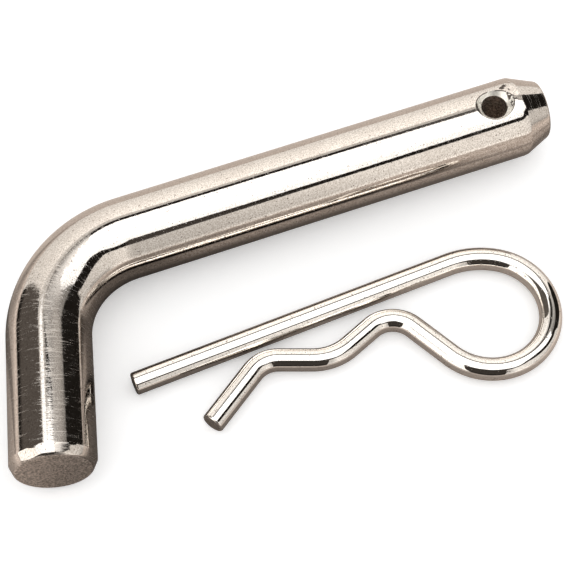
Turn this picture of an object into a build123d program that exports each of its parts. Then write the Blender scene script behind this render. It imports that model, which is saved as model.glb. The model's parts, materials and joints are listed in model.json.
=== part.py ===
from build123d import *
from math import cos, radians, sin
import os

# A bent receiver hitch pin and its spring clip, laid flat side by side with the clip taken off.
# The origin is on the shank's axis where the bend begins, with +X along the shank to the nose and
# +Z up, square to the plane of the bend. The pin and the clip rest on one flat surface.

# Pin: one bar of round steel, bent cold near one end
pin_diameter = 15.875  # 5/8 in bar
bend_inner_radius = 12.7
bend_turn = 75.0  # leaves 105 degrees between the arm and the shank
arm_length = 26.5  # straight part of the arm, up to the middle of its sheared end
shear_lean = 2.1  # the shear leaves the end's upper edge short of the lower one ...
shear_skew = 2.2  # ... and its edge inside the bend short of the outer one
shear_bevel_length = 1.95  # it draws the bar's skin in, this far along the arm ...
shear_bevel_depth = 0.9  # ... and this far towards its axis
shear_edge_radius = 1.0
grip_length = 75.3  # straight shank from the bend to the clip hole's axis
nose_from_hole = 5.3  # from that axis to the start of the nose
nose_length = 5.5  # to the middle of its front
nose_depth = 2.35  # how far the nose tapers in towards the axis
nose_shoulder_radius = 5.0
nose_skew = 3.1  # its front is this far out of square, longer on the side away from the arm
nose_edge_radius = 0.6

# Clip hole: drilled across the shank and countersunk at both mouths
hole_clearance = 0.75  # on the diameter of the clip's wire
hole_turn = 2.5  # the drilling is this far off square to the bend, about the shank
countersink_width = 1.4
countersink_angle = 90.0

# Clip: one spring wire, bent flat into a straight leg, a loop and a waved leg
wire_diameter = 4.37  # 11/64 in wire
leg_length = 64.6
lead_radius = 16.5  # the gentle start of the loop
lead_turn = 34.0
loop_inner_diameter = 19.05
neck_inner_radius = 3.8  # the bends on each side of the seat
loop_neck_gap = 1.9  # between the two legs, on the loop's side of the seat
mouth_gap = 1.1  # between the two legs, at the mouth
seat_spring = 0.9  # how far the pin springs the seat open
dive_slope = 64.0  # slopes of the waved leg's straight runs against the straight leg
climb_slope = 20.0
fall_slope = 23.0
flare_slope = 32.0
flare_length = 12.8
wire_edge_radius = 0.4

# Where the clip lies: the end of its straight leg, and how far it is turned from the shank
clip_x = -7.7
clip_y = -26.8
clip_turn = 2.9

pin_radius = pin_diameter / 2
bend_radius = bend_inner_radius + pin_radius
shank_length = grip_length + nose_from_hole
nose_spare = pin_radius * sin(radians(nose_skew))  # cut off again with the front
wire_radius = wire_diameter / 2
hole_radius = (wire_diameter + hole_clearance) / 2
loop_radius = loop_inner_diameter / 2 + wire_radius
neck_radius = neck_inner_radius + wire_radius
seat_radius = pin_radius + wire_radius


def rise(radius, slope):
    """Height that an arc climbs while it turns from level to this slope."""
    return radius * (1 - cos(radians(slope)))


def run(height, slope):
    """Length of a straight run that climbs this height at this slope."""
    return height / sin(radians(slope))


# Heights of the waved leg's centreline above the straight leg's, in the plane of the clip
loop_height = rise(lead_radius, lead_turn) + loop_radius * cos(radians(lead_turn))
loop_end_height = loop_height + loop_radius * cos(radians(dive_slope))
loop_neck_height = wire_diameter + loop_neck_gap
seat_height = seat_radius - seat_spring
mouth_height = wire_diameter + mouth_gap

dive = run(loop_end_height - loop_neck_height - rise(neck_radius, dive_slope), dive_slope)
climb = run(seat_height - loop_neck_height - rise(neck_radius + seat_radius, climb_slope), climb_slope)
fall = run(seat_height - mouth_height - rise(seat_radius + neck_radius, fall_slope), fall_slope)

# The wire's bends in order from the straight leg: bend radius, turn, and the straight run after it
clip_bends = [
    (lead_radius, lead_turn, 0),
    (loop_radius, 180 - lead_turn + dive_slope, dive),
    (neck_radius, -(dive_slope + climb_slope), climb),
    (seat_radius, climb_slope + fall_slope, fall),
    (neck_radius, -(fall_slope + flare_slope), flare_length),
]

with BuildPart() as hitch_pin:
    with BuildLine() as bar_line:
        shank = Line((shank_length + nose_length + nose_spare, 0), (0, 0))
        bend = JernArc(shank @ 1, shank % 1, bend_radius, bend_turn)
        arm = Line(bend @ 1, bend @ 1 + (bend % 1) * (arm_length + pin_diameter))
    with BuildSketch(Plane(origin=shank @ 0, z_dir=shank % 0)):
        Circle(pin_radius)
    sweep()

    # The nose is a taper with a soft shoulder, cut a little out of square in front, its edge broken
    nose_face = hitch_pin.faces().sort_by(Axis.X)[-1]
    taper = nose_length + nose_spare
    chamfer(nose_face.edges(), length=taper * nose_depth / nose_length, length2=taper, reference=nose_face)
    fillet(hitch_pin.edges().filter_by(GeomType.CIRCLE).sort_by(Axis.X)[-2], nose_shoulder_radius)
    nose_front = Plane(origin=(shank_length + nose_length, 0, 0), z_dir=(1, 0, 0)).rotated((0, 0, -nose_skew))
    split(bisect_by=nose_front, keep=Keep.BOTTOM)
    fillet(hitch_pin.faces().sort_by(Axis.X)[-1].edges(), nose_edge_radius)

    # The arm's end is sheared a little out of square, and its edge rolls over
    arm_end = Plane(origin=bend @ 1 + (bend % 1) * arm_length, x_dir=(0, 0, 1), z_dir=bend % 1)
    split(bisect_by=Plane(arm_end.location * Rotation(shear_skew, shear_lean, 0)), keep=Keep.BOTTOM)
    arm_face = hitch_pin.faces().sort_by(Axis.Y)[0]
    chamfer(arm_face.edges(), length=shear_bevel_depth, length2=shear_bevel_length, reference=arm_face)
    fillet(hitch_pin.faces().filter_by(GeomType.PLANE).sort_by(Axis.Y)[0].edges(), shear_edge_radius)

    # The clip hole, drilled and countersunk from both sides
    hole_plane = Plane(origin=(grip_length, 0, 0)).rotated((hole_turn, 0, 0))
    with Locations(hole_plane.offset(pin_radius), -hole_plane.offset(-pin_radius)):
        CounterSinkHole(hole_radius, hole_radius + countersink_width, pin_diameter, countersink_angle)

with BuildPart() as spring_clip:
    wire_plane = Plane(
        origin=(clip_x, clip_y, wire_radius - pin_radius),
        x_dir=(cos(radians(clip_turn)), sin(radians(clip_turn)), 0),
        z_dir=(0, 0, -1),
    )
    with BuildLine(wire_plane) as wire_line:
        wire = Line((0, 0), (leg_length, 0))
        for radius, turn, straight in clip_bends:
            wire = JernArc(wire @ 1, wire % 1, radius, turn)
            if straight:
                wire = Line(wire @ 1, wire @ 1 + (wire % 1) * straight)
    with BuildSketch(Plane(origin=wire_line.line @ 0, z_dir=wire_line.line % 0)):
        Circle(wire_radius)
    sweep()
    fillet(spring_clip.faces().filter_by(GeomType.PLANE).edges(), wire_edge_radius)

os.makedirs("parts", exist_ok=True)
hitch_pin.part.label = "hitch_pin"
export_step(hitch_pin.part, "parts/hitch_pin.step")
spring_clip.part.label = "spring_clip"
export_step(spring_clip.part, "parts/spring_clip.step")
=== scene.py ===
# Looks of a bent receiver hitch pin and its loose spring clip: bright plated steel on a pale floor.
# Metres throughout, in the CAD frame: +X along the shank to the nose, +Z up.

import json
from itertools import pairwise
from math import atan2, cos, hypot, pi, radians, sin, tan

import bmesh
import bpy
from mathutils import Matrix, Vector


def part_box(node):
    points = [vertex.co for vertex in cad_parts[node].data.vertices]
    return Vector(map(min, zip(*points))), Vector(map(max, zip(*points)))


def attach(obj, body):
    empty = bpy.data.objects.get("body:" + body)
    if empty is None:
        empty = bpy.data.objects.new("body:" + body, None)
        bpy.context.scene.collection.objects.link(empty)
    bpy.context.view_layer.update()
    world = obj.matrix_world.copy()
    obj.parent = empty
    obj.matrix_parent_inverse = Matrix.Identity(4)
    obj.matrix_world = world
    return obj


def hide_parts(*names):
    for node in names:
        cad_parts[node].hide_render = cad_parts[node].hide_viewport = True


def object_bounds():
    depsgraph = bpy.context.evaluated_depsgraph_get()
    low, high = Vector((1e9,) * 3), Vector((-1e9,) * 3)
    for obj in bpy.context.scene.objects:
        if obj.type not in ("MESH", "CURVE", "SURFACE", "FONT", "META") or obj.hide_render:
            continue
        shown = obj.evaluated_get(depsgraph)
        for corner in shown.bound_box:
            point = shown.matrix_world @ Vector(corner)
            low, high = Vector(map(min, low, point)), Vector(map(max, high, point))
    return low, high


MM = 0.001

# Points nearer than this are at the same place, and edges that turn by more than this stay sharp
same_place = 0.001 * MM
sharp_turn = radians(24)

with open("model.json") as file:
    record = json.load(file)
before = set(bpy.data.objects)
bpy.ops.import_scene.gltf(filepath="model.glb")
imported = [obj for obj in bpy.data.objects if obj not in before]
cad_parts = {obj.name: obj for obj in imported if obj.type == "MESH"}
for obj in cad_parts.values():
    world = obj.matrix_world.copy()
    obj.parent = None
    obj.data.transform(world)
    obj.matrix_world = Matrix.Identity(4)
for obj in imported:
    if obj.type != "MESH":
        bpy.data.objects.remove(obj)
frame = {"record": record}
cad_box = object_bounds()
mounts = {mount["name"]: mount for mount in frame["record"]["mounts"]}
floor_height = cad_box[0].z

# Pin
pin_radius = mounts["shank"]["dims"]["r_mm"] * MM
nose_length = 5.5 * MM
nose_depth = 2.35 * MM
nose_slope = atan2(nose_depth, nose_length)
nose_front = mounts["shank"]["dims"]["length_mm"] * MM + nose_length
shoulder_place = nose_length - 0.14 * MM
shoulder_lead = 1.2 * MM
shoulder_edge = 0.15 * MM
nose_skew = radians(3.1)
nose_edge = 0.6 * MM
bend_inner_radius = 12.7 * MM
bend_radius = bend_inner_radius + pin_radius
bend_turn = radians(75)
arm_length = 26.5 * MM
shear_lean = radians(2.1)
shear_skew = radians(2.2)
shear_bevel_length = 1.95 * MM
shear_bevel_depth = 0.9 * MM
shear_edge_radius = 1.0 * MM
hole_place = nose_front - mounts["clip_hole"]["pos_m"][0]
hole_radius = mounts["clip_hole"]["dims"]["r_mm"] * MM
hole_turn = radians(2.5)
countersink_width = 1.4 * MM
pin_sides = 224
pin_ring_gap = 0.5 * MM
nose_ring_gap = 0.25 * MM
nose_rings_end = 16 * MM

# Clip
clip_low, clip_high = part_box("spring_clip")
wire_radius = (clip_high.z - clip_low.z) / 2
clip_start = Vector((-7.7 * MM, -26.8 * MM, floor_height + wire_radius))
clip_turn = radians(2.9)
leg_length = 64.6 * MM
lead_radius, lead_turn = 16.5 * MM, radians(34)
loop_inner_diameter = 19.05 * MM
loop_radius = loop_inner_diameter / 2 + wire_radius
neck_inner_radius = 3.8 * MM
neck_radius = neck_inner_radius + wire_radius
seat_radius = pin_radius + wire_radius
seat_spring = 0.9 * MM
seat_height = seat_radius - seat_spring
loop_neck_gap = 1.9 * MM
loop_neck_height = 2 * wire_radius + loop_neck_gap
mouth_gap = 1.1 * MM
mouth_height = 2 * wire_radius + mouth_gap
dive_slope, climb_slope, fall_slope, flare_slope = (radians(a) for a in (64, 20, 23, 32))
flare_length = 12.8 * MM
wire_edge = 0.4 * MM
wire_sides = 56
wire_ring_gap = 0.45 * MM
end_ring_gap = 0.5 * MM
pole_radius = 0.3 * MM


def rise(radius, slope):
    """Height that an arc climbs while it turns from level to this slope."""
    return radius * (1 - cos(slope))


# Heights above the straight leg, and the straight stretches that join the arcs at those heights
loop_height = rise(lead_radius, lead_turn) + loop_radius * cos(lead_turn)
loop_end_height = loop_height + loop_radius * cos(dive_slope)
neck_to_seat = neck_radius + seat_radius
dive = (loop_end_height - loop_neck_height - rise(neck_radius, dive_slope)) / sin(dive_slope)
climb = (seat_height - loop_neck_height - rise(neck_to_seat, climb_slope)) / sin(climb_slope)
fall = (seat_height - mouth_height - rise(neck_to_seat, fall_slope)) / sin(fall_slope)

# Each blank is bent in its own plane, in runs of straight length, bend radius and turn to the left
pin_runs = [(nose_front, bend_radius, bend_turn), (arm_length, 0, 0)]
clip_runs = [
    (leg_length, lead_radius, lead_turn),
    (0, loop_radius, pi - lead_turn + dive_slope),
    (dive, neck_radius, -(dive_slope + climb_slope)),
    (climb, seat_radius, climb_slope + fall_slope),
    (fall, neck_radius, -(fall_slope + flare_slope)),
    (flare_length, 0, 0),
]
pin_place = Matrix.Translation((nose_front, 0, 0)) @ Matrix.Rotation(pi, 4, "Z")
clip_aim = Matrix.Rotation(clip_turn, 4, "Z") @ Matrix.Rotation(pi, 4, "X")
clip_place = Matrix.Translation(clip_start) @ clip_aim

# Knocks on the pin: millimetres from the nose, degrees round from the outer side, width and depth
dents = [
    (8.0, 69, 0.7, 0.07),
    (7.3, 66, 0.6, 0.06),
    (6.5, 76, 0.8, 0.10),
    (6.1, 86, 0.6, 0.05),
    (5.7, 94, 0.5, 0.05),
    (4.9, 27, 1.2, 0.16),
    (5.9, 60, 0.7, 0.05),
    (6.8, 90, 0.5, 0.04),
]


# Shaping helpers


def blank_length(runs):
    """Length of a straight blank before these runs bend it."""
    return sum(length + radius * abs(turn) for length, radius, turn in runs)


def steps(start, end, size):
    """Distances after start up to end, about size apart."""
    count = max(1, round(abs(end - start) / size))
    return [start + (end - start) * i / count for i in range(1, count + 1)]


def grow_ring(blank, rim):
    """Extrudes a rim where it is, and returns the new ring's points and its edges."""
    made = bmesh.ops.extrude_edge_only(blank, edges=rim)["geom"]
    points = [part for part in made if isinstance(part, bmesh.types.BMVert)]
    edges = [part for part in made if isinstance(part, bmesh.types.BMEdge) and part.is_boundary]
    return points, edges


def round_blank(stations, sides):
    """A straight closed bar along +X through (distance, radius) stations, both ends closed to a pole."""
    blank = bmesh.new()
    start, radius = stations[0]
    turned = Matrix.Translation((start, 0, 0)) @ Matrix.Rotation(pi / 2, 4, "Y")
    bmesh.ops.create_circle(
        blank, cap_ends=True, cap_tris=True, segments=sides, radius=radius, matrix=turned
    )
    rim = [edge for edge in blank.edges if edge.is_boundary]
    for (before, wide), (after, narrow) in pairwise(stations):
        ring, rim = grow_ring(blank, rim)
        bmesh.ops.scale(blank, vec=(1, narrow / wide, narrow / wide), verts=ring)
        bmesh.ops.translate(blank, vec=(after - before, 0, 0), verts=ring)
    close_pole(blank, rim)
    return blank


def close_pole(blank, rim):
    """Closes a rim with a fan of triangles."""
    face = bmesh.ops.edgeloop_fill(blank, edges=rim)["faces"]
    bmesh.ops.poke(blank, faces=face)


def ring_edges(blank, distance, radius):
    """Edges that run round a straight blank at this distance and radius."""

    def on_ring(vert):
        along, across = vert.co.x - distance, hypot(vert.co.y, vert.co.z) - radius
        return max(abs(along), abs(across)) < same_place

    return [edge for edge in blank.edges if all(on_ring(vert) for vert in edge.verts)]


def bevel(blank, edges, width, segments):
    """Rounds these edges, which keep their neighbours' material."""
    bmesh.ops.bevel(
        blank, geom=edges, offset=width, segments=segments, profile=0.5, material=-1, affect="EDGES"
    )


def break_edge(blank, distance, radius, width, segments=4):
    """Rounds the edge that runs round a straight blank at this distance and radius."""
    bevel(blank, ring_edges(blank, distance, radius), width, segments)


def dent(blank, along, around, width, depth):
    """Pushes the skin in towards the bar's axis round one point, as a knock does."""
    around = radians(around)
    knock = Vector((along, -pin_radius * cos(around), pin_radius * sin(around)))
    for vert in blank.verts:
        reach = (vert.co - knock).length / width
        if reach < 1:
            share = 1 - depth * (1 - reach**2) ** 2 / hypot(vert.co.y, vert.co.z)
            vert.co.y *= share
            vert.co.z *= share


def keep_straight(blank):
    """Stores where each point is on the straight blank, for patterns that follow the bar."""
    layer = blank.verts.layers.float_vector.new("straight")
    for vert in blank.verts:
        vert[layer] = vert.co


def bend_blank(blank, runs, place):
    """Bends a straight blank in its plane through its runs, and puts it in place."""
    for vert in blank.verts:
        here = Matrix.Identity(4)
        along, left, up = vert.co
        for length, radius, turn in runs:
            if along <= length or not turn:
                break
            here = here @ Matrix.Translation((length, 0, 0))
            along -= length
            share = min(1, along / (radius * abs(turn)))
            side = radius if turn > 0 else -radius
            centre = Matrix.Translation((0, side, 0))
            here = here @ centre @ Matrix.Rotation(turn * share, 4, "Z") @ centre.inverted()
            along -= radius * abs(turn) * share
            if share < 1:
                break
        vert.co = place @ here @ Vector((along, left, up))


def finish_piece(blank, name, node, materials):
    """Turns a finished blank into the piece that stands for its CAD node."""
    bmesh.ops.recalc_face_normals(blank, faces=blank.faces)
    for face in blank.faces:
        face.smooth = True
    for edge in blank.edges:
        edge.smooth = edge.calc_face_angle(0) < sharp_turn
    mesh = bpy.data.meshes.new(name)
    blank.to_mesh(mesh)
    blank.free()
    piece = bpy.data.objects.new(name, mesh)
    bpy.context.scene.collection.objects.link(piece)
    for material in materials:
        mesh.materials.append(material)
    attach(piece, "root")
    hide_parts(node)
    return piece


def cut_away(blank, cutter):
    """The blank less the cutter, by a Boolean that is applied at once. Frees both."""
    things = []
    for name, shape in (("blank", blank), ("cutter", cutter)):
        mesh = bpy.data.meshes.new(name)
        shape.to_mesh(mesh)
        shape.free()
        things.append(bpy.data.objects.new(name, mesh))
        bpy.context.scene.collection.objects.link(things[-1])
    body, tool = things
    cut = body.modifiers.new("cut", "BOOLEAN")
    cut.object, cut.operation, cut.solver = tool, "DIFFERENCE", "EXACT"
    result = bmesh.new()
    result.from_object(body, bpy.context.evaluated_depsgraph_get())
    for thing in things:
        mesh = thing.data
        bpy.data.objects.remove(thing)
        bpy.data.meshes.remove(mesh)
    return result


def hole_cutter(sides=96):
    """The drill and both countersinks in one, along the hole's axis on the straight blank."""
    over = 1.0 * MM
    tip_radius = 0.1 * MM
    mouth = pin_radius + over
    throat = pin_radius - countersink_width
    wide = hole_radius + countersink_width + over
    half = [(throat, hole_radius), (mouth, wide), (mouth, tip_radius)]
    stations = [(-place, radius) for place, radius in reversed(half)] + half
    cutter = round_blank(stations, sides)
    across = Matrix.Rotation(-hole_turn, 4, "X") @ Matrix.Rotation(-pi / 2, 4, "Y")
    aim = Matrix.Translation((hole_place, 0, 0)) @ across
    bmesh.ops.transform(cutter, matrix=aim, verts=cutter.verts)
    bmesh.ops.recalc_face_normals(cutter, faces=cutter.faces)
    return cutter


def trim(blank, place, normal):
    """Cuts off what lies beyond a plane, and returns the rim that this leaves."""
    everything = blank.verts[:] + blank.edges[:] + blank.faces[:]
    bmesh.ops.bisect_plane(
        blank, geom=everything, plane_co=place, plane_no=normal, clear_outer=True
    )
    return [edge for edge in blank.edges if edge.is_boundary]


def draw_in(blank, rim, place, normal, radius, profile):
    """Extrudes a rim through (forward, inset) steps, and closes it to a pole."""
    forward_now, radius_now = 0, radius
    for forward, inset in profile:
        ring, rim = grow_ring(blank, rim)
        middle = place + normal * forward_now
        share = (radius - inset) / radius_now
        bmesh.ops.scale(blank, vec=(share,) * 3, space=Matrix.Translation(-middle), verts=ring)
        bmesh.ops.translate(blank, vec=normal * (forward - forward_now), verts=ring)
        forward_now, radius_now = forward, radius - inset
    close_pole(blank, rim)


def nose_skin(place):
    """The bar's radius at the taper, and where the shank draws in a little before it."""
    if place < shoulder_place:
        return pin_radius - nose_depth * (1 - place / nose_length)
    drop = nose_depth * (1 - shoulder_place / nose_length)
    return pin_radius - drop * max(0, 1 - (place - shoulder_place) / shoulder_lead) ** 2


def nose_stations():
    """Stations from a little in front of the nose, along its taper, to the shank past the hole."""
    before_nose, first_ring = -1 * MM, 1.2 * MM
    places = [before_nose, first_ring] + steps(first_ring, shoulder_place, pin_ring_gap)
    places += steps(shoulder_place, nose_rings_end, nose_ring_gap)
    return [(place, nose_skin(place)) for place in places]


def cut_nose(blank):
    """Cuts the nose's front a little out of square, and rounds its edge."""
    place, normal = Vector((0, 0, 0)), Vector((-cos(nose_skew), sin(nose_skew), 0))
    front = pin_radius - nose_depth
    first_inset, front_ring_gap = 0.2 * MM, 0.7 * MM
    rim = trim(blank, place, normal)
    insets = [(0, inset) for inset in steps(first_inset, front - pole_radius, front_ring_gap)]
    draw_in(blank, rim, place, normal, front, insets)
    bevel(blank, rim, nose_edge * tan(pi / 4 - nose_slope / 2), 6)


def shear_end(blank, end):
    """Cuts the arm's end a little out of square, draws its skin in and rolls the edge over."""
    normal = Vector((cos(shear_skew) * cos(shear_lean), sin(shear_skew), sin(shear_lean))).normalized()
    start = Vector((end, 0, 0)) - normal * shear_bevel_length
    roll = atan2(shear_bevel_length, shear_bevel_depth)
    flat_start = shear_bevel_depth + shear_edge_radius * tan(roll / 2)
    rounding, rings = [], 8
    for i in range(rings + 1):
        turn = roll * (1 - i / rings)
        forward = shear_bevel_length - shear_edge_radius * (1 - cos(turn))
        rounding.append((forward, flat_start - shear_edge_radius * sin(turn)))
    forward, inset = rounding[0]
    slope = [(forward * share, inset * share) for share in (0.25, 0.5, 0.75)]
    flat_insets = steps(flat_start, pin_radius - pole_radius, end_ring_gap)
    flat = [(shear_bevel_length, inset) for inset in flat_insets]
    draw_in(blank, trim(blank, start, normal), start, normal, pin_radius, slope + rounding + flat)


# Material helpers


def new_material(name):
    """A material with an empty node tree."""
    material = bpy.data.materials.new(name)
    material.use_nodes = True
    material.node_tree.nodes.clear()
    return material, material.node_tree


def feed(tree, socket, value):
    """Gives a socket a plain value, or links another node's output to it."""
    if isinstance(value, bpy.types.NodeSocket):
        tree.links.new(value, socket)
    else:
        socket.default_value = value


def add(tree, kind, inputs=None, **settings):
    """A shader node with its settings and its inputs, each a value or another node's output."""
    made = tree.nodes.new("ShaderNode" + kind)
    for name, value in settings.items():
        setattr(made, name, value)
    for socket, value in (inputs or {}).items():
        feed(tree, made.inputs[socket], value)
    return made


def calc(tree, operation, *values):
    """A Math node's result on one or two values."""
    made = add(tree, "Math", operation=operation)
    for socket, value in zip(made.inputs, values):
        feed(tree, socket, value)
    return made.outputs[0]


def times(tree, result, *factors):
    """The product of levels, each a number or another node's output."""
    for factor in factors:
        result = calc(tree, "MULTIPLY", result, factor)
    return result


def plus(tree, result, *terms):
    """The sum of levels, each a number or another node's output."""
    for term in terms:
        result = calc(tree, "ADD", result, term)
    return result


def minus(tree, one, other):
    return calc(tree, "SUBTRACT", one, other)


def axes(tree, vector):
    """A vector's X, Y and Z."""
    outputs = add(tree, "SeparateXYZ", {"Vector": vector}).outputs
    return outputs["X"], outputs["Y"], outputs["Z"]


def spread(tree, value, low, high, to_low=0.0, to_high=1.0):
    """Runs straight from to_low at the low value to to_high at the high one, and stays level outside."""
    ends = {"From Min": low, "From Max": high, "To Min": to_low, "To Max": to_high}
    return add(tree, "MapRange", {"Value": value, **ends}).outputs["Result"]


def soft_step(tree, value, edge, width):
    """0 below the edge and 1 above it, over this width."""
    inputs = {"Value": minus(tree, value, edge), "From Min": -width / 2, "From Max": width / 2}
    return add(tree, "MapRange", inputs, interpolation_type="SMOOTHSTEP").outputs["Result"]


def grey(level):
    return (level, level, level, 1)


def through_stops(tree, value, stops):
    """Straight lines between (place, level) stops, places rising within 0 and 1."""
    made = add(tree, "ValToRGB", {"Fac": value})
    elements = made.color_ramp.elements
    elements.remove(elements[0])
    for i, (place, level) in enumerate(stops):
        element = elements[0] if i == 0 else elements.new(place)
        element.position = place
        element.color = grey(level)
    return made.outputs["Color"]


def noise(tree, vector, scale, detail, roughness):
    inputs = {"Vector": vector, "Scale": scale, "Detail": detail, "Roughness": roughness}
    return add(tree, "TexNoise", inputs).outputs["Fac"]


def strokes(tree, vector, scale, detail, roughness):
    """Noise drawn out along the axes that have the smaller of these three scales."""
    stretched = add(tree, "Mapping", {"Vector": vector, "Scale": scale}).outputs["Vector"]
    return noise(tree, stretched, 1.0, detail, roughness)


def mix(tree, share, one, other):
    """One colour or level turning into the other as the share rises."""
    made = add(tree, "Mix", {"Factor": share, "A": one, "B": other}, data_type="RGBA")
    return made.outputs["Result"]


def tinted(tree, level, tint):
    """A level of light in this tint."""
    return add(tree, "VectorMath", {0: tint, "Scale": level}, operation="SCALE").outputs["Vector"]


def bump(tree, height, distance, under=None):
    """A skin raised by this height, on top of another one if given."""
    inputs = {"Height": height, "Distance": distance, "Strength": 1.0}
    if under:
        inputs["Normal"] = under
    return add(tree, "Bump", inputs).outputs["Normal"]


def steel(name, plain, roughness):
    """A metal shader in a plain colour, for a pattern to go on, and each point's straight-bar place."""
    material, tree = new_material(name)
    inputs = {"Metallic": 1.0, "Base Color": (*plain, 1), "Roughness": roughness}
    shader = add(tree, "BsdfPrincipled", inputs)
    add(tree, "OutputMaterial", {"Surface": shader.outputs["BSDF"]})
    bar = add(tree, "Attribute", attribute_name="straight", attribute_type="GEOMETRY")
    return material, tree, shader, bar.outputs["Vector"]


# Finishes

# Front edge of the worn strip: share of the 60 mm after the bend's start, and share of half a turn
worn_length = 60 * MM
worn_front_stops = [
    (0.0, 0.47),
    (0.10, 0.50),
    (0.14, 0.545),
    (0.22, 0.565),
    (0.31, 0.565),
    (0.36, 0.62),
    (1.0, 0.63),
]


def worn_strip(tree, bar, from_bend, around):
    """The dull strip that wear leaves on top of the bend and arm, with frayed edges."""
    wander = strokes(tree, bar, (2300, 330, 330), 3, 0.7)
    front = through_stops(tree, times(tree, from_bend, 1 / worn_length), worn_front_stops)
    front = times(tree, front, 180)
    to_front = minus(tree, front, plus(tree, around, spread(tree, wander, 0, 1, -8, 8)))
    from_top = plus(tree, around, spread(tree, wander, 0, 1, -3, 3))
    from_top = minus(tree, from_top, spread(tree, from_bend, 25 * MM, 41 * MM, 0, 8))
    within = times(tree, spread(tree, from_top, 88.5, 90.5), spread(tree, to_front, 0, 2.0))
    return times(tree, within, spread(tree, from_bend, 4 * MM, 8 * MM))


def plating_tone(tree, bar, around, patches, worn, pitted):
    """Warm plating in two tones, with a dark grain that thickens on the side of the clip."""
    grain = noise(tree, bar, 3600, 2, 0.65)
    tone = mix(tree, spread(tree, patches, 0.35, 0.65), (0.79, 0.75, 0.70, 1), (0.74, 0.695, 0.645, 1))
    grainy = times(tree, spread(tree, grain, 0.36, 0.64), spread(tree, around, 138, 156, 0.58, 0.95))
    tone = mix(tree, grainy, tone, (0.38, 0.33, 0.29, 1))
    tone = mix(tree, times(tree, worn, 0.8), tone, (0.44, 0.40, 0.36, 1))
    return mix(tree, pitted, tone, (0.25, 0.215, 0.19, 1))


def plated_bar_material():
    """Bright plating: turned rings on the nose, brushed lines and a worn strip on the bend and arm."""
    material, tree, shader, bar = steel("plated_bar", (0.70, 0.66, 0.61), 0.1)
    x, y, z = axes(tree, bar)
    from_bend = minus(tree, x, nose_front)
    around = times(tree, calc(tree, "ARCTAN2", z, times(tree, y, -1)), 180 / pi)
    bent = spread(tree, from_bend, 4 * MM, 16 * MM)
    nose = spread(tree, x, nose_length - 0.4 * MM, nose_length - 0.2 * MM, 1, 0)

    patches = noise(tree, bar, 130, 4, 0.6)
    pitted = spread(tree, noise(tree, bar, 3000, 0, 0.5), 0.755, 0.80)
    brushed = strokes(tree, bar, (4200, 330, 330), 2, 0.6)
    rings = strokes(tree, bar, (4500, 120, 120), 2, 0.6)
    worn = worn_strip(tree, bar, from_bend, around)
    feed(tree, shader.inputs["Base Color"], plating_tone(tree, bar, around, patches, worn, pitted))

    lines = times(tree, spread(tree, brushed, 0.55, 0.66, 0.0, 0.22), spread(tree, bent, 0, 1, 0.25, 1.0))
    sparkle = spread(tree, noise(tree, bar, 4200, 1, 0.5), 0.50, 0.72)
    sparkle = times(tree, sparkle, spread(tree, from_bend, 12 * MM, 24 * MM, 0.05, 0.11))
    turned = times(tree, nose, spread(tree, rings, 0.56, 0.62, 0.0, 0.22))
    rough = spread(tree, patches, 0.3, 0.7, 0.025, 0.05)
    rough = plus(tree, rough, lines, sparkle, turned, times(tree, worn, 0.16))
    feed(tree, shader.inputs["Roughness"], rough)

    skin = bump(tree, noise(tree, bar, 1300, 2, 0.5), 0.004 * MM)
    skin = bump(tree, times(tree, nose, rings), 0.005 * MM, skin)
    skin = bump(tree, pitted, -0.004 * MM, skin)
    skin = bump(tree, times(tree, brushed, spread(tree, bent, 0, 1, 0.1, 1)), 0.004 * MM, skin)
    feed(tree, shader.inputs["Normal"], skin)
    return material


def cut_steel(name, plain, roughness, grain, contrast, dark, light, depth):
    """Bare cut steel, with a grain of this scale and harshness in two tones, rough to this depth."""
    material, tree, shader, bar = steel(name, plain, roughness)
    scale, harshness = grain
    height = noise(tree, bar, scale, 3, harshness)
    tone = mix(tree, spread(tree, height, *contrast), (*dark, 1), (*light, 1))
    feed(tree, shader.inputs["Base Color"], tone)
    feed(tree, shader.inputs["Normal"], bump(tree, height, depth))
    return material


def sheared_face_material():
    return cut_steel(
        "sheared_face",
        (0.42, 0.37, 0.33),
        0.5,
        grain=(2600, 0.7),
        contrast=(0.36, 0.64),
        dark=(0.34, 0.295, 0.26),
        light=(0.98, 0.88, 0.80),
        depth=0.060 * MM,
    )


def drilled_hole_material():
    return cut_steel(
        "drilled_hole",
        (0.62, 0.56, 0.51),
        0.4,
        grain=(2400, 0.7),
        contrast=(0.38, 0.62),
        dark=(0.30, 0.255, 0.225),
        light=(0.95, 0.86, 0.78),
        depth=0.050 * MM,
    )


def cut_wire_material():
    return cut_steel(
        "cut_wire_end",
        (0.40, 0.36, 0.33),
        0.45,
        grain=(2500, 0.6),
        contrast=(0.3, 0.7),
        dark=(0.30, 0.265, 0.235),
        light=(0.60, 0.55, 0.50),
        depth=0.025 * MM,
    )


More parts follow.
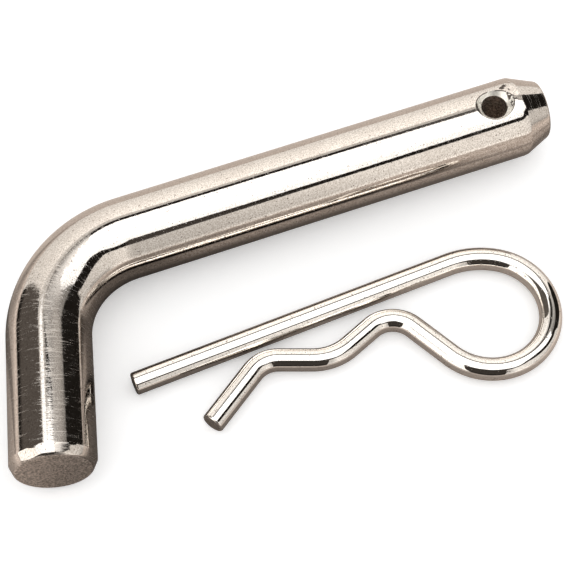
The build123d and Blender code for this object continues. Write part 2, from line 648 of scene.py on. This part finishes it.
def countersink_material():
    """Bright cut cone with painted shade at its edges: a dark line that stands in for the shade of a
    rounded edge, in bits of its rim and towards both its ends.
    """
    material, tree, shader, bar = steel("countersink", (0.95, 0.93, 0.88), 0.45)
    x, y, z = axes(tree, bar)
    radius = calc(tree, "POWER", plus(tree, times(tree, y, y), times(tree, z, z)), 0.5)
    depth = minus(tree, pin_radius, radius)
    to_nose = minus(tree, hole_place, x)
    # Painted shade of a rounded edge: dark bits round the rim, and dark crescents towards the nose and
    # the bend
    rim = spread(tree, depth, 0.12 * MM, 0.22 * MM, 1, 0)
    rim = times(tree, rim, spread(tree, noise(tree, bar, 420, 2, 0.6), 0.44, 0.50))
    nose_end = spread(tree, to_nose, 3.0 * MM, 3.15 * MM)
    nose_end = times(tree, nose_end, spread(tree, noise(tree, bar, 1500, 2, 0.6), 0.46, 0.52))
    bend_end = spread(tree, to_nose, -3.35 * MM, -3.2 * MM, 1, 0)
    # All the painted edge shade together
    painted_edge_shade = calc(tree, "MAXIMUM", rim, calc(tree, "MAXIMUM", nose_end, bend_end))
    grain = noise(tree, bar, 3000, 2, 0.6)
    dull = spread(tree, grain, 0.4, 0.65, 0, 0.5)
    tone = mix(tree, dull, (1.0, 0.985, 0.93, 1), (0.66, 0.62, 0.55, 1))
    tone = mix(tree, painted_edge_shade, tone, (0.10, 0.085, 0.075, 1))
    feed(tree, shader.inputs["Base Color"], tone)
    feed(tree, shader.inputs["Normal"], bump(tree, grain, 0.020 * MM))
    return material


def plated_wire_material():
    """Bright plated wire with fine lines from drawing, a light grain and small pits."""
    material, tree, shader, bar = steel("plated_wire", (0.78, 0.755, 0.72), 0.06)
    drawn = strokes(tree, bar, (150, 3000, 3000), 2, 0.55)
    grain = noise(tree, bar, 3800, 2, 0.65)
    sparkle = noise(tree, bar, 4300, 1, 0.5)
    pitted = spread(tree, noise(tree, bar, 3000, 0, 0.5), 0.72, 0.78)
    dull = spread(tree, grain, 0.38, 0.62, 0, 0.5)
    tone = mix(tree, dull, (0.85, 0.82, 0.78, 1), (0.56, 0.52, 0.475, 1))
    tone = mix(tree, pitted, tone, (0.33, 0.29, 0.26, 1))
    feed(tree, shader.inputs["Base Color"], tone)
    rough = plus(tree, spread(tree, drawn, 0.3, 0.7, 0.015, 0.03), times(tree, pitted, 0.25))
    rough = plus(tree, rough, spread(tree, sparkle, 0.58, 0.74, 0, 0.05))
    feed(tree, shader.inputs["Roughness"], rough)
    skin = bump(tree, drawn, 0.0015 * MM)
    feed(tree, shader.inputs["Normal"], bump(tree, pitted, -0.004 * MM, skin))
    return material


# Pieces


def mark_cut_faces(pin, end):
    """Gives the hole's wall, its countersinks and the sheared end the materials after the plating."""
    wall, shear, sink = 1, 2, 3
    for face in pin.faces:
        place = face.calc_center_median()
        depth = pin_radius - hypot(place.y, place.z)
        at_hole = abs(place.x - hole_place) < hole_radius + countersink_width
        if at_hole and depth > 0.02 * MM:
            face.material_index = wall if depth > countersink_width else sink
        if place.x > end - shear_bevel_length and depth > shear_bevel_depth:
            face.material_index = shear


def make_pin():
    """The bar: nose, hole and sheared end on the straight blank, and then the bend."""
    end = blank_length(pin_runs)
    shank = steps(nose_rings_end, end + 2 * MM, pin_ring_gap)
    stations = nose_stations() + [(place, pin_radius) for place in shank]
    pin = round_blank(stations, pin_sides)
    break_edge(pin, shoulder_place, nose_skin(shoulder_place), shoulder_edge)
    cut_nose(pin)
    shear_end(pin, end)
    bmesh.ops.recalc_face_normals(pin, faces=pin.faces)
    pin = cut_away(pin, hole_cutter())
    for along, around, width, depth in dents:
        dent(pin, along * MM, around, width * MM, depth * MM)
    keep_straight(pin)
    mark_cut_faces(pin, end)
    bend_blank(pin, pin_runs, pin_place)
    materials = [
        plated_bar_material(),
        drilled_hole_material(),
        sheared_face_material(),
        countersink_material(),
    ]
    return finish_piece(pin, "bent_pin", "hitch_pin", materials)


def make_clip():
    """The wire: a straight blank with broken ends, bent into its leg, loop, necks, seat and flare."""
    end = blank_length(clip_runs)
    stations = [(0, pole_radius)]
    stations += [(0, radius) for radius in steps(pole_radius, wire_radius, end_ring_gap)]
    stations += [(place, wire_radius) for place in steps(0, end, wire_ring_gap)]
    stations += [(end, radius) for radius in steps(wire_radius, pole_radius, end_ring_gap)]
    clip = round_blank(stations, wire_sides)
    break_edge(clip, 0, wire_radius, wire_edge, 5)
    break_edge(clip, end, wire_radius, wire_edge, 5)
    keep_straight(clip)
    for face in clip.faces:
        place = face.calc_center_median().x
        if min(abs(place), abs(place - end)) < same_place:
            face.material_index = 1
    bend_blank(clip, clip_runs, clip_place)
    materials = [plated_wire_material(), cut_wire_material()]
    return finish_piece(clip, "hairpin_clip", "spring_clip", materials)


# Studio
#
# Bearings are in degrees from +X towards +Y, once round from the first one. The stops give heights in
# degrees above the horizon, and the nodes use them as shares of a right angle.

first_bearing = -110
gap_tone = (0.014, 0.012, 0.010, 1)
corner_tone = (0.12, 0.104, 0.092, 1)
wall_tint = (1.0, 0.955, 0.905)
table_tint = (1.0, 0.87, 0.78, 1)
white = (1.0, 1.0, 1.0, 1)

# How far the dark gaps are lit to the corners' tone
corner_stops = [
    (-110, 0.35), (-86, 0.35), (-82, 0.6), (-78, 0.5), (-73, 0), (108, 0), (114, 1),
    (215, 1), (225, 0.35), (250, 0.35),
]

# Height where the white silk overhead starts, in degrees
silk_edge_stops = [
    (-110, 58), (-80, 54.8), (-75, 52.2), (-69, 49.5), (-60, 50), (-44, 57), (-26, 58),
    (-18, 47), (-7, 43), (0, 50), (15, 57), (30, 63), (45, 65), (75, 65.5), (92, 65.5),
    (96, 64), (97, 57.5), (109, 57.5), (110, 64), (130, 62), (185, 50), (205, 44),
    (220, 52), (250, 58),
]

# Height of the pale walls, in degrees
wall_top_stops = [
    (-110, 0), (-90, 0), (-84, 41), (-67, 41), (-50, 45), (-38, 37), (-27, 27), (-17, 22),
    (-10, 25), (-9, 10), (-4, 7), (4, 0), (27.5, 0), (28.5, 56), (105, 56), (115.5, 38),
    (123, 4), (124, 0), (142, 0), (150, 14), (165, 32), (185, 44), (218, 50), (223, 12),
    (230, 0), (250, 0),
]

# How bright the walls are, how much they brighten with height, and how they change at their foot
wall_light_stops = [
    (-110, 0.6), (-85, 0.68), (-81, 0.76), (-78, 0.88), (-76, 1.02), (-73, 1.17), (-66, 1.10),
    (-60, 1.0), (-41, 0.88), (-22, 0.80), (-12, 0.78), (28, 1.0), (62, 1.04), (76, 1.06),
    (90, 1.0), (105, 0.95), (116, 0.98), (124, 1.02), (142, 1.3), (160, 1.7), (210, 1.7),
    (250, 1.2),
]
wall_lift_stops = [
    (-110, 0), (28, 0.5), (62, 1.05), (80, 1.0), (100, 0.55), (116, 0.3), (250, 0.0),
]
unchanged_foot = 0.35
wall_foot_stops = [
    (-110, 0.35), (-88, 0.7), (-60, 0.7), (-52, 0.05), (-28, 0.05), (-20, 0.35), (250, 0.35),
]

# Height where the dim ceiling behind the silk starts, in degrees, and how bright it is
ceiling_edge_stops = [
    (-110, 90), (-13, 90), (-8, 46), (5, 43), (25, 44), (40, 50), (60, 52), (105, 52),
    (112, 56), (118, 90), (250, 90),
]
ceiling_light_stops = [
    (-110, 0.3), (-5, 0.2), (8, 0.3), (22, 0.42), (35, 0.62), (60, 0.75), (100, 0.85), (250, 0.7),
]

# How dark the seam between ceiling and silk is
seam_stops = [
    (-110, 0), (28, 0), (48, 0.8), (62, 1), (80, 1), (88, 0.5), (94, 0), (250, 0),
]
seam_height = 62

# Second reflections are dimmed round this bearing, and brightened elsewhere
dimmed_bearing = 18

# Half the floor's side, and the light that brings its shaded white up to the background's
floor_reach = 20
floor_glow = 0.24


def all_round(tree, bearing, stops, unit=1):
    """A level that goes through (bearing, value) stops, with the values in this unit."""
    shares = [((place - first_bearing) / 360, value / unit) for place, value in stops]
    return through_stops(tree, bearing, shares)


def pale_walls(tree, bearing, height):
    """Pale walls in front of dark gaps, which are a little lighter in the room's corners."""
    corners = all_round(tree, bearing, corner_stops)
    tone = mix(tree, times(tree, corners, spread(tree, height, 0.07, 0.15)), gap_tone, corner_tone)
    lift = times(tree, height, all_round(tree, bearing, wall_lift_stops))
    foot = minus(tree, all_round(tree, bearing, wall_foot_stops), unchanged_foot)
    foot = times(tree, spread(tree, height, 0.02, 0.10, 1, 0), foot)
    light = plus(tree, all_round(tree, bearing, wall_light_stops), lift, foot)
    wall = soft_step(tree, all_round(tree, bearing, wall_top_stops, 90), height, 0.012)
    return mix(tree, wall, tone, tinted(tree, light, wall_tint))


def ceiling_over(tree, tone, bearing, height):
    """A dim ceiling, with the dark seam between it and the silk."""
    light = tinted(tree, all_round(tree, bearing, ceiling_light_stops), wall_tint)
    edge = all_round(tree, bearing, ceiling_edge_stops, 90)
    tone = mix(tree, soft_step(tree, height, edge, 0.03), tone, light)
    from_seam = calc(tree, "ABSOLUTE", minus(tree, height, seam_height / 90))
    seam = times(tree, spread(tree, from_seam, 0.036, 0.043, 1, 0), all_round(tree, bearing, seam_stops))
    return mix(tree, seam, tone, gap_tone)


def room(tree, turn, up):
    """What stands round the metal: pale walls with dark gaps, a dim ceiling, and white silk overhead."""
    bearing = calc(tree, "FRACT", plus(tree, times(tree, turn, 1 / 360), 1 - first_bearing / 360))
    height = times(tree, calc(tree, "ARCSINE", up), 2 / pi)
    tone = ceiling_over(tree, pale_walls(tree, bearing, height), bearing, height)
    silk = soft_step(tree, height, all_round(tree, bearing, silk_edge_stops, 90), 0.010)
    glow = spread(tree, height, 0.66, 0.88, 1.7, 3.0)
    return mix(tree, silk, tone, tinted(tree, glow, white[:3]))


def make_world():
    """White light and a white background, and the painted room for what the metal reflects."""
    world = bpy.data.worlds.new("studio")
    bpy.context.scene.world = world
    world.use_nodes = True
    tree = world.node_tree
    tree.nodes.clear()
    path = add(tree, "LightPath").outputs
    x, y, z = axes(tree, add(tree, "TexCoord").outputs["Generated"])
    turn = times(tree, calc(tree, "ARCTAN2", y, x), 180 / pi)
    from_dimmed = calc(tree, "ABSOLUTE", minus(tree, turn, dimmed_bearing))
    second = spread(tree, from_dimmed, 12, 28, 0.4, 1.7)
    strength = spread(tree, path["Glossy Depth"], 1, 2, 1.0, second)
    reflected = tinted(tree, strength, room(tree, turn, z))
    tone = mix(tree, path["Is Glossy Ray"], white, reflected)
    back = add(tree, "Background", {"Color": tone, "Strength": 1.0})
    add(tree, "OutputWorld", {"Surface": back.outputs["Background"]})


def open_table(tree, place, x, y):
    """Painted shade and light on the table in the metal: painted shade darkest by the bend, lighter to
    the nose, and painted light behind the shank and far off.
    """
    level = spread(tree, x, -10 * MM, 90 * MM, 0.15, 0.50)
    level = mix(tree, spread(tree, y, 0, 12 * MM), level, grey(0.70))
    beside_arm = spread(tree, x, -34 * MM, -100 * MM, 0.34, 0.95)
    level = mix(tree, spread(tree, x, -26 * MM, -34 * MM), level, beside_arm)
    reach = add(tree, "VectorMath", {0: place}, operation="LENGTH").outputs["Value"]
    return mix(tree, spread(tree, reach, 150 * MM, 800 * MM), level, grey(0.62))


def table_beyond_leg(tree, level, x, y, from_leg):
    """A painted strip of light between the clip's leg and the shank, which fades towards the shank."""
    strip = spread(tree, from_leg, 3.5 * MM, 6 * MM)
    strip = times(tree, strip, spread(tree, y, -17 * MM, -12 * MM, 0.3, 0.05))
    strip = times(tree, strip, spread(tree, x, 6 * MM, 16 * MM))
    return mix(tree, strip, level, grey(0.9))


def table_in_front(tree, level, x, y):
    """The table in front of the clip, with a painted sheen at a low angle, and a painted lighter end by
    the nose.
    """
    near = spread(tree, x, 30 * MM, 50 * MM, 0.80, 0.64)
    away = spread(tree, x, 30 * MM, 50 * MM, 0.36, 0.50)
    # Painted sheen: the table's colour made lighter where it is seen at a low angle
    sheen = add(tree, "LayerWeight", {"Blend": 0.5}).outputs["Facing"]
    sheen = times(tree, spread(tree, y, -34 * MM, -30 * MM, 1, 0), spread(tree, sheen, 0.70, 0.86))
    level = mix(tree, sheen, level, spread(tree, y, -75 * MM, -55 * MM, away, near))
    by_nose = spread(tree, x, 64 * MM, 80 * MM, 0, 0.5)
    by_nose = times(tree, by_nose, spread(tree, y, -22 * MM, -15 * MM, 1, 0))
    return times(tree, level, plus(tree, by_nose, 1))


def table_under_pieces(tree, level, x, y, from_leg):
    """The dark lines of shade along the clip's leg and under the shank."""
    by_leg = spread(tree, from_leg, -2 * MM, -1 * MM)
    by_leg = times(tree, by_leg, spread(tree, from_leg, 3 * MM, 5 * MM, 1, 0))
    by_leg = times(tree, by_leg, spread(tree, x, 36 * MM, 70 * MM, 0.95, 0.3))
    by_leg = times(tree, by_leg, spread(tree, x, -12 * MM, -8 * MM))
    level = mix(tree, by_leg, level, grey(0))
    by_shank = spread(tree, y, -13 * MM, -9.5 * MM, 0, 0.5)
    by_shank = times(tree, by_shank, spread(tree, y, 0, 2 * MM, 1, 0))
    return mix(tree, by_shank, level, grey(0))


def table_level(tree, place, depth):
    """How light each place of the table looks in the metal, lighter in second reflections."""
    x, y, _ = axes(tree, place)
    leg_line = clip_start.y - clip_start.x * tan(clip_turn)
    from_leg = minus(tree, y, plus(tree, times(tree, x, tan(clip_turn)), leg_line))
    level = open_table(tree, place, x, y)
    level = table_beyond_leg(tree, level, x, y, from_leg)
    level = table_in_front(tree, level, x, y)
    level = table_under_pieces(tree, level, x, y, from_leg)
    before_leg = spread(tree, from_leg, -18 * MM, -12 * MM, 1, 0)
    outside = calc(tree, "MAXIMUM", before_leg, spread(tree, y, 0, 2 * MM))
    return mix(tree, times(tree, spread(tree, depth, 1, 2), outside), level, grey(0.95))


def floor_material():
    """White with soft shadows to the eye, and a brown-grey table with painted shade and light in what the
    metal reflects.
    """
    material, tree = new_material("floor")
    path = add(tree, "LightPath").outputs
    place = add(tree, "TexCoord").outputs["Object"]
    level = table_level(tree, place, path["Glossy Depth"])
    inputs = {"Factor": 1.0, "A": level, "B": table_tint}
    table = add(tree, "Mix", inputs, data_type="RGBA", blend_type="MULTIPLY").outputs["Result"]
    matt = add(tree, "BsdfDiffuse", {"Color": mix(tree, path["Is Glossy Ray"], white, table)})
    glow = add(tree, "Emission", {"Strength": times(tree, path["Is Camera Ray"], floor_glow)})
    both = add(tree, "AddShader", {0: matt.outputs["BSDF"], 1: glow.outputs["Emission"]})
    add(tree, "OutputMaterial", {"Surface": both.outputs["Shader"]})
    return material


def make_floor():
    """A wide flat sheet that both pieces lie on."""
    sheet = bmesh.new()
    level = Matrix.Translation((0, 0, floor_height))
    bmesh.ops.create_grid(sheet, x_segments=1, y_segments=1, size=floor_reach, matrix=level)
    mesh = bpy.data.meshes.new("floor")
    sheet.to_mesh(mesh)
    sheet.free()
    mesh.materials.append(floor_material())
    floor = bpy.data.objects.new("floor", mesh)
    bpy.context.scene.collection.objects.link(floor)


def make_camera():
    """Looks down on the lying pin from the side that its arm points to."""
    aim = Vector((24.68, -19.49, 0)) * MM
    distance = 325.7 * MM
    turn, height, roll = radians(-21.26), radians(61.96), radians(1.02)
    data = bpy.data.cameras.new("camera")
    data.sensor_width = 36
    data.lens = 110.08
    data.clip_start = 10 * MM
    camera = bpy.data.objects.new("camera", data)
    bpy.context.scene.collection.objects.link(camera)
    camera.matrix_world = (
        Matrix.Translation(aim)
        @ Matrix.Rotation(turn, 4, "Z")
        @ Matrix.Rotation(pi / 2 - height, 4, "X")
        @ Matrix.Rotation(roll, 4, "Z")
        @ Matrix.Translation((0, 0, distance))
    )
    bpy.context.scene.camera = camera


make_pin()
make_clip()
make_world()
make_floor()
make_camera()
bpy.context.scene.view_settings.view_transform = "Standard"
